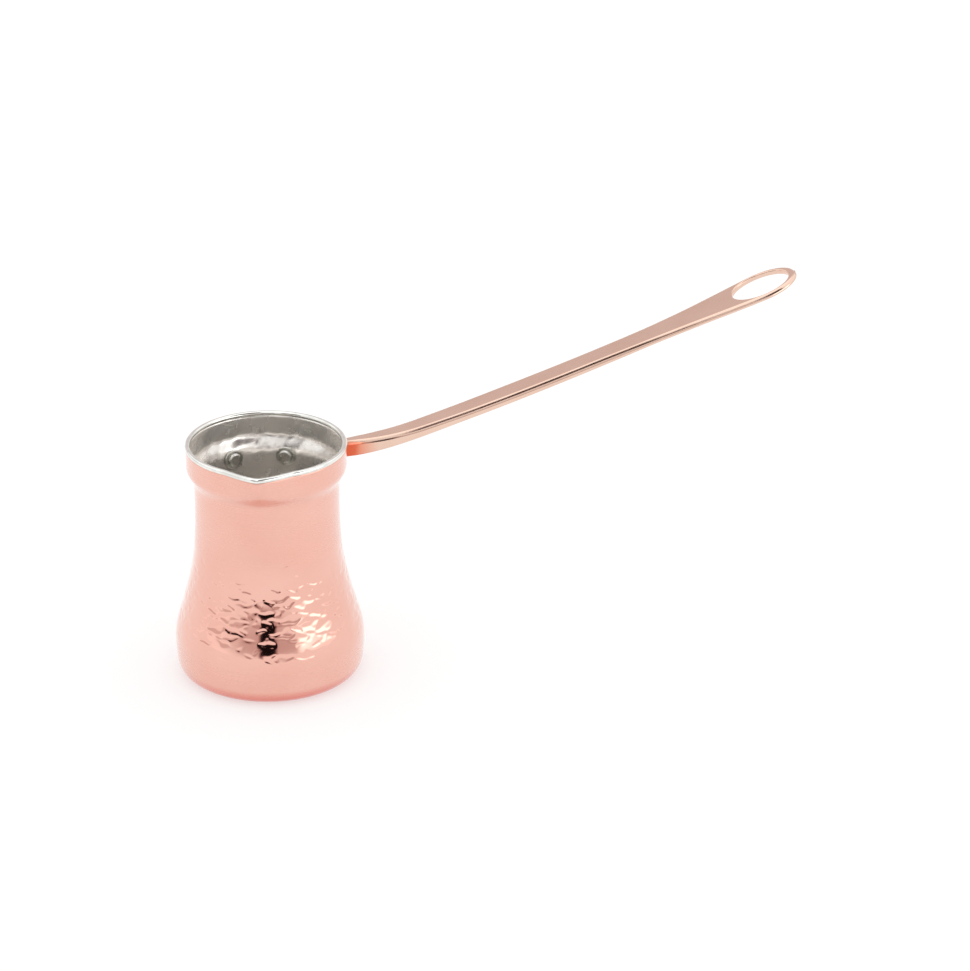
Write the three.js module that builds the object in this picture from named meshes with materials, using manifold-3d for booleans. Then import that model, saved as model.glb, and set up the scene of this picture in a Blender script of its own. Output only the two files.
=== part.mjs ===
// A long-handled copper coffee pot (cezve), in millimetres.
// The origin is the centre of the base's underside, +Z is up, and the handle runs towards +X.
import * as THREE from 'three';
import { mergeVertices } from 'three/addons/utils/BufferGeometryUtils.js';
import Module from 'manifold-3d';

const wasm = await Module();
wasm.setup();

// ---- Driving dimensions ----

// Pot: outer sizes of the copper shell
const SEAT_HEIGHT = 89.3; // top edge of the shell, which carries the rim bead
const COLLAR_DEPTH = 6.5; // upright collar below that edge
const FLARE_DEPTH = 8; // the flare under the collar
const NECK_DEPTH = 8.8; // the straight neck under the flare
const NECK_RADIUS = 26.5;
const COLLAR_OVERHANG = 2.8; // how far the collar stands out from the neck
const BELLY_RADIUS = 35; // widest ring
const BELLY_HEIGHT = 18; // height of the widest ring
const BELLY_TAPER = 0.6; // how much narrower the wall is at its foot
const BASE_CORNER_WIDTH = 8; // the rounded corner round the flat underside
const BASE_CORNER_HEIGHT = 6;
const BASE_CORNER_LEAN = 1; // softens the corner where it meets the wall
const WALL_LEAN_IN = 0.67; // how far the wall has leaned in, as a share of belly less neck
const WALL_LEAN_RISE = 0.38; // and the share of the wall's height where it has
const NECK_SETTLE = 0.42; // share of the wall's height over which it turns upright
const FLARE_SOFTNESS = 0.5; // share of the flare's depth that each of its two bends takes
const SHELL_WALL = 1;
const LINING_GAP = 0.1; // keeps the two layers of the wall apart
const LINING_WALL = 0.4;
const BEAD_RADIUS = 1; // round section of the rim bead

// Beak: the lip pushed outwards over a sector
const BEAK_ANGLE = -110; // degrees from the handle
const BEAK_HALF_ANGLE = 24;
const BEAK_REACH = 4.2; // how far the lip moves out
const BEAK_DEPTH = 15; // how far down the collar the push fades out
const BEAK_NOSE = 0.08; // roundness of the nose, as a share of the half angle
const BEAK_SHARPNESS = 1.3; // 1 gives straight sides, more gives hollow ones

// Strap: the start of the handle bar, bent round the back of the neck
const STRAP_RAISE = 0; // its centreline above the foot of the flare
const STRAP_START_ANGLE = 118; // degrees from the handle
const STRAP_END_ANGLE = 53;
const STRAP_THICKNESS = 2.4;
const STRAP_WIDTH = 4.8;
const STRAP_GAP = 0.2; // between the strap and the widest part of the wall behind it

// Bar: it peels off the neck, bends outwards and rises to the grip
const PEEL_PITCH = 13; // degrees above level where it leaves the neck
const BEND_REACH = 33.7; // how far beyond the strap's centreline the bend ends
const BEND_RISE = 11.2;
const BEND_HANDOVER = 0.42; // share of the bend's length that each end's direction carries
const GRIP_OFFSET = 8; // the grip's line passes this far behind the pot's axis
const GRIP_LENGTH = 131; // from the end of the bend to the middle of the loop, measured level
const GRIP_START_PITCH = 14.5; // degrees above level
const GRIP_END_PITCH = 19.8;

// Widths and heights of the bar: [level distance from the end of the bend, size]
const ROOT_WIDTHS = [[-28, 4.8], [-18, 7.4], [-8, 8.6], [10, 9.6], [30, 10.4], [68, 10.7]];
const ROOT_HEIGHTS = [[-28, 6.6], [-18, 5.4], [-6, 4.2], [13, 3.5], [68, 3]];
const STRAP_END_RUN = -40; // the bar has the strap's section up to here
// The same, measured back from the middle of the loop
const PADDLE_WIDTHS = [[-43, 11.6], [-27, 14], [-12, 17.6], [-5, 19.4]];
const PADDLE_HEIGHTS = [[-43, 2.5], [0, 2.1]];
const CORNER_SHARE = 0.28; // corner radius of the bar's section, as a share of its smaller side

// Loop at the end of the grip
const LOOP_LENGTH = 28.6;
const LOOP_WIDTH = 20.4;
const HOLE_LENGTH = 22.6;
const HOLE_WIDTH = 16.4;
const LOOP_END_SHARE = 0.985; // where the loop's round end is cut flat, so that it isn't a point

// Rivets, whose axes lie on the strap's centreline
const REAR_RIVET_MARGIN = 12.5; // degrees from the strap's free end
const SIDE_RIVET_MARGIN = 6; // degrees from the strap's other end
const SHANK_RADIUS = 1.5;
const SHANK_CLEARANCE = 0.3;
const TAIL_RADIUS = 2.7;
const TAIL_HEIGHT = 0.9;
const HEAD_RADIUS = 2.3;
const HEAD_HEIGHT = 1.3;
const BURR_RADIUS = 3.8;
const BURR_THICKNESS = 0.6;
const BURR_BEVEL = 0.2;
const SEAT_GAP = 0.2; // between a flat piece and the round wall or strap it sits on
// Domes as [share of the radius, share of the height], from the middle to the edge
const TAIL_DOME = [[0, 1], [0.75, 0.85], [1, 0.45]];
const HEAD_DOME = [[0, 1], [0.5, 0.9], [0.9, 0.5]];

// Facets
const ROUND_STEPS = 42; // round the pot, outside the beak
const BEAK_STEPS = 10;
const CURVE_STEPS = 5; // per curve of the pot's outline
const STRAP_STEPS = 9;
const BEND_STEPS = 10;
const GRIP_STEPS = 14;
const LOOP_END_STEPS = 13;
const OVAL_STEPS = 32;
const RIVET_STEPS = 16;
const BEAD_STEPS = 9;
const CORNER_STEPS = 2; // per corner of the bar's section

const CUT_REACH = 8; // how far a cutting plug runs to each side of its centre
const MERGE_DISTANCE = 1e-5;

const COPPER = { color: 0xf0b49c, roughness: 0.22, metalness: 1 };
const TIN = { color: 0xd6d4cc, roughness: 0.3, metalness: 1 };

const radians = THREE.MathUtils.degToRad;

// ---- Meshes and booleans ----

function geometryFrom(points, triangles) {
  const geometry = new THREE.BufferGeometry();
  geometry.setAttribute('position', new THREE.Float32BufferAttribute(points.flat(), 3));
  geometry.setIndex(triangles.flat());
  return mergeVertices(geometry, MERGE_DISTANCE);
}

function solidFrom(geometry) {
  const bare = geometry.clone();
  bare.deleteAttribute('normal');
  bare.deleteAttribute('uv');
  const merged = mergeVertices(bare, MERGE_DISTANCE);
  return new wasm.Manifold(new wasm.Mesh({
    numProp: 3,
    vertProperties: new Float32Array(merged.attributes.position.array),
    triVerts: new Uint32Array(merged.index.array),
  }));
}

function cut(geometry, tools) {
  let solid = solidFrom(geometry);
  for (const tool of tools) {
    solid = solid.subtract(solidFrom(tool));
  }
  const mesh = solid.getMesh();
  const result = new THREE.BufferGeometry();
  result.setAttribute('position', new THREE.Float32BufferAttribute(mesh.vertProperties, 3));
  result.setIndex(Array.from(mesh.triVerts));
  return result;
}

function part(name, geometry, look) {
  geometry.computeVertexNormals();
  const mesh = new THREE.Mesh(geometry, new THREE.MeshStandardMaterial(look));
  mesh.name = name;
  return mesh;
}

// Drops the empty triangles where a profile meets the axis
function withoutSlivers(geometry) {
  const kept = [];
  const index = geometry.index.array;
  for (let i = 0; i < index.length; i += 3) {
    const [a, b, c] = index.slice(i, i + 3);
    if (a !== b && b !== c && c !== a) {
      kept.push(a, b, c);
    }
  }
  geometry.setIndex(kept);
  return geometry;
}

// A tube of skin through equal rings of points, closed by a flat fan at each end
function loft(rings) {
  const points = rings.flat();
  const count = rings[0].length;
  const triangles = [];
  for (let ring = 0; ring + 1 < rings.length; ring += 1) {
    for (let i = 0; i < count; i += 1) {
      const a = ring * count + i;
      const b = ring * count + (i + 1) % count;
      triangles.push([a, b, b + count], [a, b + count, a + count]);
    }
  }
  const last = (rings.length - 1) * count;
  for (let i = 1; i + 1 < count; i += 1) {
    triangles.push([0, i + 1, i], [last, last + i, last + i + 1]);
  }
  return geometryFrom(points, triangles);
}

// ---- Pot: one outline, offset inwards for each layer of the wall ----

const COLLAR_RADIUS = NECK_RADIUS + COLLAR_OVERHANG;
const FLARE_TOP = SEAT_HEIGHT - COLLAR_DEPTH;
const FLARE_FOOT = FLARE_TOP - FLARE_DEPTH;
const NECK_FOOT = FLARE_FOOT - NECK_DEPTH;

function potOutline() {
  const foot = BELLY_RADIUS - BELLY_TAPER;
  const rise = NECK_FOOT - BELLY_HEIGHT;
  const lean = BELLY_RADIUS - NECK_RADIUS;
  const outline = new THREE.Path();
  outline.moveTo(0, 0);
  outline.lineTo(BELLY_RADIUS - BASE_CORNER_WIDTH, 0);
  outline.quadraticCurveTo(foot - BASE_CORNER_LEAN, 0, foot, BASE_CORNER_HEIGHT);
  outline.quadraticCurveTo(
    BELLY_RADIUS, (BASE_CORNER_HEIGHT + BELLY_HEIGHT) / 2,
    BELLY_RADIUS, BELLY_HEIGHT,
  );
  // The wall leans in above the belly and turns upright at the neck
  outline.bezierCurveTo(
    BELLY_RADIUS - WALL_LEAN_IN * lean, BELLY_HEIGHT + WALL_LEAN_RISE * rise,
    NECK_RADIUS, NECK_FOOT - NECK_SETTLE * rise,
    NECK_RADIUS, NECK_FOOT,
  );
  outline.lineTo(NECK_RADIUS, FLARE_FOOT);
  outline.bezierCurveTo(
    NECK_RADIUS, FLARE_FOOT + FLARE_SOFTNESS * FLARE_DEPTH,
    COLLAR_RADIUS, FLARE_TOP - FLARE_SOFTNESS * FLARE_DEPTH,
    COLLAR_RADIUS, FLARE_TOP,
  );
  outline.lineTo(COLLAR_RADIUS, (FLARE_TOP + SEAT_HEIGHT) / 2);
  outline.lineTo(COLLAR_RADIUS, SEAT_HEIGHT);
  return outline.getPoints(CURVE_STEPS);
}

const OUTLINE = potOutline();
const LINING_OUTSIDE = SHELL_WALL + LINING_GAP;
const WHOLE_WALL = LINING_OUTSIDE + LINING_WALL;

// The outline moved inwards by a distance, point for point
function layer(distance) {
  const last = OUTLINE.length - 1;
  return OUTLINE.map((point, i) => {
    const before = OUTLINE[Math.max(i - 1, 0)];
    const after = OUTLINE[Math.min(i + 1, last)];
    const arriving = point.clone().sub(before).normalize();
    const leaving = after.clone().sub(point).normalize();
    const along = arriving.add(leaving).normalize();
    const isEnd = i === 0 || i === last;
    const stretch = isEnd ? distance : distance / along.dot(leaving);
    const radius = i === 0 ? 0 : point.x - along.y * stretch;
    const height = i === last ? SEAT_HEIGHT : point.y + along.x * stretch;
    return new THREE.Vector2(radius, height);
  });
}

// Radius of a layer at a height on the upright wall
function layerRadius(distance, height) {
  const points = layer(distance);
  const i = points.findIndex((point) => point.y > height);
  const share = (height - points[i - 1].y) / (points[i].y - points[i - 1].y);
  return THREE.MathUtils.lerp(points[i - 1].x, points[i].x, share);
}

// How far the beak moves the wall outwards, at an angle and a height
function beakPush(angle, height) {
  const fromBeak = THREE.MathUtils.euclideanModulo(angle - BEAK_ANGLE + 180, 360) - 180;
  const nosed = Math.hypot(fromBeak / BEAK_HALF_ANGLE, BEAK_NOSE) - BEAK_NOSE;
  const across = THREE.MathUtils.clamp(1 - nosed, 0, 1) ** BEAK_SHARPNESS;
  const foot = SEAT_HEIGHT - BEAK_DEPTH;
  const up = THREE.MathUtils.smootherstep(height, foot, SEAT_HEIGHT + BEAD_RADIUS);
  return BEAK_REACH * across * up;
}

// Angles round the pot, closer together across the beak
function roundAngles() {
  const start = BEAK_ANGLE - BEAK_HALF_ANGLE;
  const beak = 2 * BEAK_HALF_ANGLE;
  const rest = 360 - beak;
  const angles = [];
  for (let i = 0; i < BEAK_STEPS; i += 1) {
    angles.push(start + (beak * i) / BEAK_STEPS);
  }
  for (let i = 0; i < ROUND_STEPS; i += 1) {
    angles.push(start + beak + (rest * i) / ROUND_STEPS);
  }
  return angles;
}

const ANGLES = roundAngles();

// Turns a profile round the pot's axis and pushes the beak out. The profile runs anticlockwise
// in the (radius, height) plane, from axis to axis or back to its own start.
function turned(profile) {
  const closesOnItself = profile[0].x > 0;
  const points = ANGLES.flatMap((angle) => profile.map(({ x, y }) => {
    const radius = x > 0 ? x + beakPush(angle, y) : 0;
    return [radius * Math.cos(radians(angle)), radius * Math.sin(radians(angle)), y];
  }));
  const count = profile.length;
  const triangles = [];
  const spans = closesOnItself ? count : count - 1;
  for (let turn = 0; turn < ANGLES.length; turn += 1) {
    const here = turn * count;
    const next = ((turn + 1) % ANGLES.length) * count;
    for (let i = 0; i < spans; i += 1) {
      const j = (i + 1) % count;
      const [a, b, c, d] = [here + i, next + i, next + j, here + j];
      // Every layer splits its facets the same way, so that the layers stay parallel
      const split = profile[i].y <= profile[j].y
        ? [[a, b, d], [b, c, d]]
        : [[a, b, c], [a, c, d]];
      triangles.push(...split);
    }
  }
  return withoutSlivers(geometryFrom(points, triangles));
}

function wall(outside, inside) {
  return turned([...layer(outside), ...layer(inside).reverse()]);
}

// A round section with a flat seat as wide as the whole wall
function rimBead() {
  const halfSeat = WHOLE_WALL / 2;
  const centreRadius = COLLAR_RADIUS - halfSeat;
  const drop = Math.sqrt(BEAD_RADIUS ** 2 - halfSeat ** 2);
  const start = -Math.asin(drop / BEAD_RADIUS);
  const profile = [];
  for (let i = 0; i <= BEAD_STEPS; i += 1) {
    const turn = start + ((Math.PI - 2 * start) * i) / BEAD_STEPS;
    const radius = centreRadius + BEAD_RADIUS * Math.cos(turn);
    const isSeat = i === 0 || i === BEAD_STEPS;
    const height = isSeat ? SEAT_HEIGHT : SEAT_HEIGHT + drop + BEAD_RADIUS * Math.sin(turn);
    profile.push(new THREE.Vector2(radius, height));
  }
  return turned(profile);
}

// ---- Handle: one bar, from the strap round the neck to the loop ----

const STRAP_HEIGHT = FLARE_FOOT + STRAP_RAISE;
const STRAP_INNER = layerRadius(0, STRAP_HEIGHT + STRAP_WIDTH / 2) + STRAP_GAP;
const STRAP_RADIUS = STRAP_INNER + STRAP_THICKNESS / 2;
const BEND_END_X = STRAP_RADIUS + BEND_REACH;
const LOOP_CENTRE_X = BEND_END_X + GRIP_LENGTH;
const RIVET_ANGLES = {
  side: STRAP_END_ANGLE + SIDE_RIVET_MARGIN,
  rear: STRAP_START_ANGLE - REAR_RIVET_MARGIN,
};

function onRing(radius, angle, height) {
  const turn = radians(angle);
  return new THREE.Vector3(radius * Math.cos(turn), radius * Math.sin(turn), height);
}

// Centreline points with their directions, in order from the strap's free end to the loop's end
function barStations() {
  const stations = [];
  for (let i = 0; i < STRAP_STEPS; i += 1) {
    const angle = THREE.MathUtils.lerp(STRAP_START_ANGLE, STRAP_END_ANGLE, i / STRAP_STEPS);
    stations.push({
      centre: onRing(STRAP_RADIUS, angle, STRAP_HEIGHT),
      along: new THREE.Vector3(Math.sin(radians(angle)), -Math.cos(radians(angle)), 0),
    });
  }
  const peel = onRing(STRAP_RADIUS, STRAP_END_ANGLE, STRAP_HEIGHT);
  const peelAlong = new THREE.Vector3(
    Math.sin(radians(STRAP_END_ANGLE)),
    -Math.cos(radians(STRAP_END_ANGLE)),
    Math.tan(radians(PEEL_PITCH)),
  );
  const grip = new THREE.Vector3(BEND_END_X, GRIP_OFFSET, STRAP_HEIGHT + BEND_RISE);
  const gripAlong = new THREE.Vector3(1, 0, Math.tan(radians(GRIP_START_PITCH)));
  const handover = (BEND_END_X - peel.x) * BEND_HANDOVER;
  const bend = new THREE.CubicBezierCurve3(
    peel,
    peel.clone().addScaledVector(peelAlong, handover),
    grip.clone().addScaledVector(gripAlong, -handover),
    grip,
  );
  for (let i = 0; i < BEND_STEPS; i += 1) {
    const share = i / BEND_STEPS;
    stations.push({ centre: bend.getPoint(share), along: bend.getTangent(share) });
  }
  // The grip's pitch grows evenly towards the loop
  const end = LOOP_CENTRE_X + (LOOP_LENGTH / 2) * Math.cos(radians(GRIP_END_PITCH));
  const slopeStart = Math.tan(radians(GRIP_START_PITCH));
  const slopeGrowth = (Math.tan(radians(GRIP_END_PITCH)) - slopeStart) / (end - BEND_END_X);
  const gripStation = (x) => {
    const run = x - BEND_END_X;
    const height = grip.z + slopeStart * run + (slopeGrowth * run * run) / 2;
    return {
      centre: new THREE.Vector3(x, GRIP_OFFSET, height),
      along: new THREE.Vector3(1, 0, slopeStart + slopeGrowth * run).normalize(),
    };
  };
  for (let i = 0; i < GRIP_STEPS; i += 1) {
    const x = THREE.MathUtils.lerp(BEND_END_X, LOOP_CENTRE_X, i / GRIP_STEPS);
    stations.push(gripStation(x));
  }
  for (let i = 0; i <= LOOP_END_STEPS; i += 1) {
    const turn = (Math.PI / 2) * LOOP_END_SHARE * (i / LOOP_END_STEPS);
    stations.push(gripStation(LOOP_CENTRE_X + (end - LOOP_CENTRE_X) * Math.sin(turn)));
  }
  return { stations, end, loop: gripStation(LOOP_CENTRE_X) };
}

// The size at x, between stations listed as [x, size]
function sizeAt(list, x) {
  const past = list.findIndex(([at]) => at > x);
  const i = past < 0 ? list.length - 1 : Math.max(past, 1);
  const [x0, size0] = list[i - 1];
  const [x1, size1] = list[i];
  return THREE.MathUtils.lerp(size0, size1, THREE.MathUtils.clamp((x - x0) / (x1 - x0), 0, 1));
}

function shifted(list, origin) {
  return list.map(([distance, size]) => [origin + distance, size]);
}

const BAR_WIDTHS = [
  [BEND_END_X + STRAP_END_RUN, STRAP_THICKNESS],
  ...shifted(ROOT_WIDTHS, BEND_END_X),
  ...shifted(PADDLE_WIDTHS, LOOP_CENTRE_X),
  [LOOP_CENTRE_X, LOOP_WIDTH],
];
const BAR_HEIGHTS = [
  [BEND_END_X + STRAP_END_RUN, STRAP_WIDTH],
  ...shifted(ROOT_HEIGHTS, BEND_END_X),
  ...shifted(PADDLE_HEIGHTS, LOOP_CENTRE_X),
];

// One ring of the bar: a rounded rectangle, narrowing to nothing round the loop's end
function barSection({ centre, along }, end) {
  const across = new THREE.Vector3(0, 0, 1).cross(along).normalize();
  const up = along.clone().cross(across).normalize();
  let width = sizeAt(BAR_WIDTHS, centre.x);
  const height = sizeAt(BAR_HEIGHTS, centre.x);
  if (centre.x > LOOP_CENTRE_X) {
    width *= Math.sqrt(1 - ((centre.x - LOOP_CENTRE_X) / (end - LOOP_CENTRE_X)) ** 2);
  }
  const corner = Math.min(width, height) * CORNER_SHARE;
  const flatX = width / 2 - corner;
  const flatY = height / 2 - corner;
  const ring = [];
  for (const [signX, signY, start] of [[1, 1, 0], [-1, 1, 90], [-1, -1, 180], [1, -1, 270]]) {
    for (let i = 0; i <= CORNER_STEPS; i += 1) {
      const turn = radians(start + (90 * i) / CORNER_STEPS);
      const x = signX * flatX + corner * Math.cos(turn);
      const y = signY * flatY + corner * Math.sin(turn);
      ring.push(centre.clone().addScaledVector(across, x).addScaledVector(up, y).toArray());
    }
  }
  return ring;
}

// An upright oval or round plug along a direction, used to cut holes
function plug(centre, axis, lengthwise, halfLength, halfWidth) {
  const sideways = axis.clone().cross(lengthwise).normalize();
  const rings = [-CUT_REACH, CUT_REACH].map((lift) => {
    const ring = [];
    for (let i = 0; i < OVAL_STEPS; i += 1) {
      const turn = (2 * Math.PI * i) / OVAL_STEPS;
      ring.push(centre.clone()
        .addScaledVector(lengthwise, halfLength * Math.cos(turn))
        .addScaledVector(sideways, halfWidth * Math.sin(turn))
        .addScaledVector(axis, lift)
        .toArray());
    }
    return ring;
  });
  return loft(rings);
}

function rivetPlug(angle) {
  const outward = onRing(1, angle, 0);
  const upward = new THREE.Vector3(0, 0, 1);
  const radius = SHANK_RADIUS + SHANK_CLEARANCE;
  return plug(onRing(NECK_RADIUS, angle, STRAP_HEIGHT), outward, upward, radius, radius);
}

const RIVET_PLUGS = Object.values(RIVET_ANGLES).map(rivetPlug);

function handle() {
  const { stations, end, loop } = barStations();
  const bar = loft(stations.map((station) => barSection(station, end)));
  const across = new THREE.Vector3(0, 1, 0);
  const up = loop.along.clone().cross(across);
  const hole = plug(loop.centre, up, loop.along, HOLE_LENGTH / 2, HOLE_WIDTH / 2);
  return cut(bar, [...RIVET_PLUGS, hole]);
}

// ---- Rivets and burrs: turned about an axis that points out through the wall ----

const WALL_INNER = layerRadius(WHOLE_WALL, STRAP_HEIGHT);
// A flat ring on the hollow wall touches it at the ring's edge
const BURR_SEAT = Math.sqrt(WALL_INNER ** 2 - BURR_RADIUS ** 2) - SEAT_GAP;
const TAIL_SEAT = BURR_SEAT - BURR_THICKNESS - SEAT_GAP;
const HEAD_SEAT = STRAP_RADIUS + STRAP_THICKNESS / 2 + SEAT_GAP;

function radialTurned(profile, angle) {
  const points = profile.map(([radius, distance]) => new THREE.Vector2(radius, distance));
  const geometry = new THREE.LatheGeometry(points, RIVET_STEPS);
  geometry.deleteAttribute('normal');
  geometry.deleteAttribute('uv');
  const solid = mergeVertices(geometry, MERGE_DISTANCE);
  solid.rotateZ(-Math.PI / 2);
  solid.rotateZ(radians(angle));
  solid.translate(0, 0, STRAP_HEIGHT);
  return withoutSlivers(solid);
}

function rivet(angle) {
  const tail = TAIL_DOME.map(([r, h]) => [r * TAIL_RADIUS, TAIL_SEAT - h * TAIL_HEIGHT]);
  const head = HEAD_DOME.map(([r, h]) => [r * HEAD_RADIUS, HEAD_SEAT + h * HEAD_HEIGHT]);
  return radialTurned([
    ...tail,
    [TAIL_RADIUS, TAIL_SEAT],
    [SHANK_RADIUS, TAIL_SEAT],
    [SHANK_RADIUS, HEAD_SEAT],
    [HEAD_RADIUS, HEAD_SEAT],
    ...head.reverse(),
  ], angle);
}

function burr(angle) {
  const bore = SHANK_RADIUS + SHANK_CLEARANCE;
  const inner = BURR_SEAT - BURR_THICKNESS;
  return radialTurned([
    [bore, inner],
    [BURR_RADIUS - BURR_BEVEL, inner],
    [BURR_RADIUS, inner + BURR_BEVEL],
    [BURR_RADIUS, BURR_SEAT],
    [bore, BURR_SEAT],
    [bore, inner],
  ], angle);
}

// ---- Assembly ----

const pot = new THREE.Group();
pot.add(part('body_shell', cut(wall(0, SHELL_WALL), RIVET_PLUGS), COPPER));
pot.add(part('tin_lining', cut(wall(LINING_OUTSIDE, WHOLE_WALL), RIVET_PLUGS), TIN));
pot.add(part('rim_bead', rimBead(), TIN));
pot.add(part('handle', handle(), COPPER));
for (const [place, angle] of Object.entries(RIVET_ANGLES)) {
  pot.add(part(`rivet_${place}`, rivet(angle), TIN));
  pot.add(part(`burr_${place}`, burr(angle), TIN));
}

export default pot;
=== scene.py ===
import math

import bmesh
import bpy
import numpy as np
from mathutils import Matrix, Vector


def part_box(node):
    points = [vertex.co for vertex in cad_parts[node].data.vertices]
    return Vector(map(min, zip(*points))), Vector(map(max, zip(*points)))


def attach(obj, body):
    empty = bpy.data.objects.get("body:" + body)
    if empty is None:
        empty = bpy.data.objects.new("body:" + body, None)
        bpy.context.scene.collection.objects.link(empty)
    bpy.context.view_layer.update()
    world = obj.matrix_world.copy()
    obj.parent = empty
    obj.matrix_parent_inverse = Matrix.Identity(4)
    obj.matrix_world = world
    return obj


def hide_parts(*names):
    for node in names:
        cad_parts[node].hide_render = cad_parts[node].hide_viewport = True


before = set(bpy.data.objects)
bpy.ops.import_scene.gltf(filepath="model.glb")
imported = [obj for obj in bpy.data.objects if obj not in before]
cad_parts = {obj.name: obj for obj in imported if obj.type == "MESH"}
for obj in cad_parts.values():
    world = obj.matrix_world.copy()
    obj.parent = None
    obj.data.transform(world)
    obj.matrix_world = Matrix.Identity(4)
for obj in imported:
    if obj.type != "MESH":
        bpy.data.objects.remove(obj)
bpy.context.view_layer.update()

MM = 0.001

# ---- Sizes, in millimetres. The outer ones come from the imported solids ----

SHELL_LOW, SHELL_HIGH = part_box("body_shell")
BEAD_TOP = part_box("rim_bead")[1].z / MM
BURR_RADIUS = (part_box("burr_rear")[1].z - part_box("burr_rear")[0].z) / 2 / MM
TAIL_RADIUS = (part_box("rivet_rear")[1].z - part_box("rivet_rear")[0].z) / 2 / MM
STRAP_HEIGHT = (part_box("burr_rear")[0].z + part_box("burr_rear")[1].z) / 2 / MM

SKIN = 0.04  # the smooth surfaces stay this far inside the solids' own
SEAT = SHELL_HIGH.z / MM
BELLY_RADIUS = -SHELL_LOW.y / MM
BELLY_HEIGHT = 18
BELLY_TAPER = 0.6
BELLY_PULL_IN, BELLY_PULL_UP, NECK_PULL_DOWN = 0.67, 0.38, 0.42  # shares that bend belly to neck
BASE_CORNER_WIDTH, BASE_CORNER_HEIGHT, BASE_CORNER_LEAN = 8, 6, 1
NECK_RADIUS = 26.5
COLLAR_RADIUS = 29.3
FLARE_TOP = SEAT - 6.5
FLARE_FOOT = FLARE_TOP - 8
NECK_FOOT = FLARE_FOOT - 8.8
SHELL_WALL = 1
LINING_OUTSIDE = 1.1
WHOLE_WALL = 1.5
BEAD_RADIUS = 1

BEAK_ANGLE, BEAK_HALF_ANGLE = -110, 24
BEAK_REACH, BEAK_DEPTH, BEAK_NOSE, BEAK_SHARPNESS = 4.2, 15, 0.08, 1.3

STRAP_START_ANGLE, STRAP_END_ANGLE = 118, 53
STRAP_THICKNESS, STRAP_WIDTH = 2.4, 4.8
STRAP_RADIUS = 28.396
PEEL_PITCH = 13
BEND_END_X = STRAP_RADIUS + 33.7
BEND_RISE, BEND_HANDOVER = 11.2, 0.42
GRIP_OFFSET = 8
GRIP_START_PITCH, GRIP_END_PITCH = 14.5, 19.8
LOOP_CENTRE_X = BEND_END_X + 131
LOOP_LENGTH, LOOP_WIDTH, LOOP_HEIGHT, HOLE_LENGTH, HOLE_WIDTH = 28.6, 20.4, 2.1, 22.6, 16.4

RIVET_ANGLES = {"side": 59, "rear": 105.5}
RIVET_HOLE_RADIUS, SHANK_RADIUS, HEAD_RADIUS = 1.8, 1.5, 2.3
TAIL_SEAT, HEAD_SEAT, TAIL_HEIGHT, HEAD_HEIGHT = 23.71, 29.796, 0.85, 1.25
BURR_SEAT, BURR_THICKNESS = 24.51, 0.6

rng = np.random.default_rng(7)


# ---- Mesh building ----

def add_mesh(name, verts, faces, smooth=True):
    mesh = bpy.data.meshes.new(name)
    mesh.from_pydata([tuple(v) for v in np.asarray(verts) * MM], [], faces)
    mesh.update()
    if smooth:
        mesh.shade_smooth()
    made = bpy.data.objects.new(name, mesh)
    bpy.context.scene.collection.objects.link(made)
    return made


def stacked(rings):
    """Points and faces of a closed body through rings of equal count, capped at both ends."""
    count, rows = len(rings[0]), len(rings)
    faces = []
    for row in range(rows - 1):
        for i in range(count):
            a, b = row * count + i, row * count + (i + 1) % count
            faces.append((a, b, b + count, a + count))
    last = (rows - 1) * count
    faces += [tuple(reversed(range(count))), tuple(range(last, last + count))]
    return [point for ring in rings for point in ring], faces


def bezier(p0, p1, p2, p3, count):
    t = np.linspace(0, 1, count + 1)[1:, None]
    p0, p1, p2, p3 = (np.array(p, float) for p in (p0, p1, p2, p3))
    return ((1 - t) ** 3 * p0 + 3 * (1 - t) ** 2 * t * p1
            + 3 * (1 - t) * t * t * p2 + t ** 3 * p3)


def quadratic(p0, p1, p2, count):
    t = np.linspace(0, 1, count + 1)[1:, None]
    p0, p1, p2 = (np.array(p, float) for p in (p0, p1, p2))
    return (1 - t) ** 2 * p0 + 2 * (1 - t) * t * p1 + t * t * p2


def resampled(points, spacing):
    """The same line with points spacing(middle of the step) apart."""
    points = np.asarray(points, float)
    lengths = np.r_[0, np.cumsum(np.hypot(*np.diff(points, axis=0).T))]
    at, stops = 0.0, [0.0]
    while at < lengths[-1]:
        height = np.interp(at, lengths, points[:, 1])
        at += spacing(height, np.interp(at, lengths, points[:, 0]))
        stops.append(min(at, lengths[-1]))
    if stops[-1] - stops[-2] < 0.05:
        stops.pop(-2)
    return np.column_stack([np.interp(stops, lengths, points[:, k]) for k in (0, 1)])


EASE_STEP, EASE_STEPS, EASE_WIDTH = 0.1, 80, 2.6  # a bell-shaped average along the line
EASE_BELLY_SPAN, EASE_FLARE_SPAN, EASE_FLARE_SHARE = 12, 4, 0.4


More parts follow.
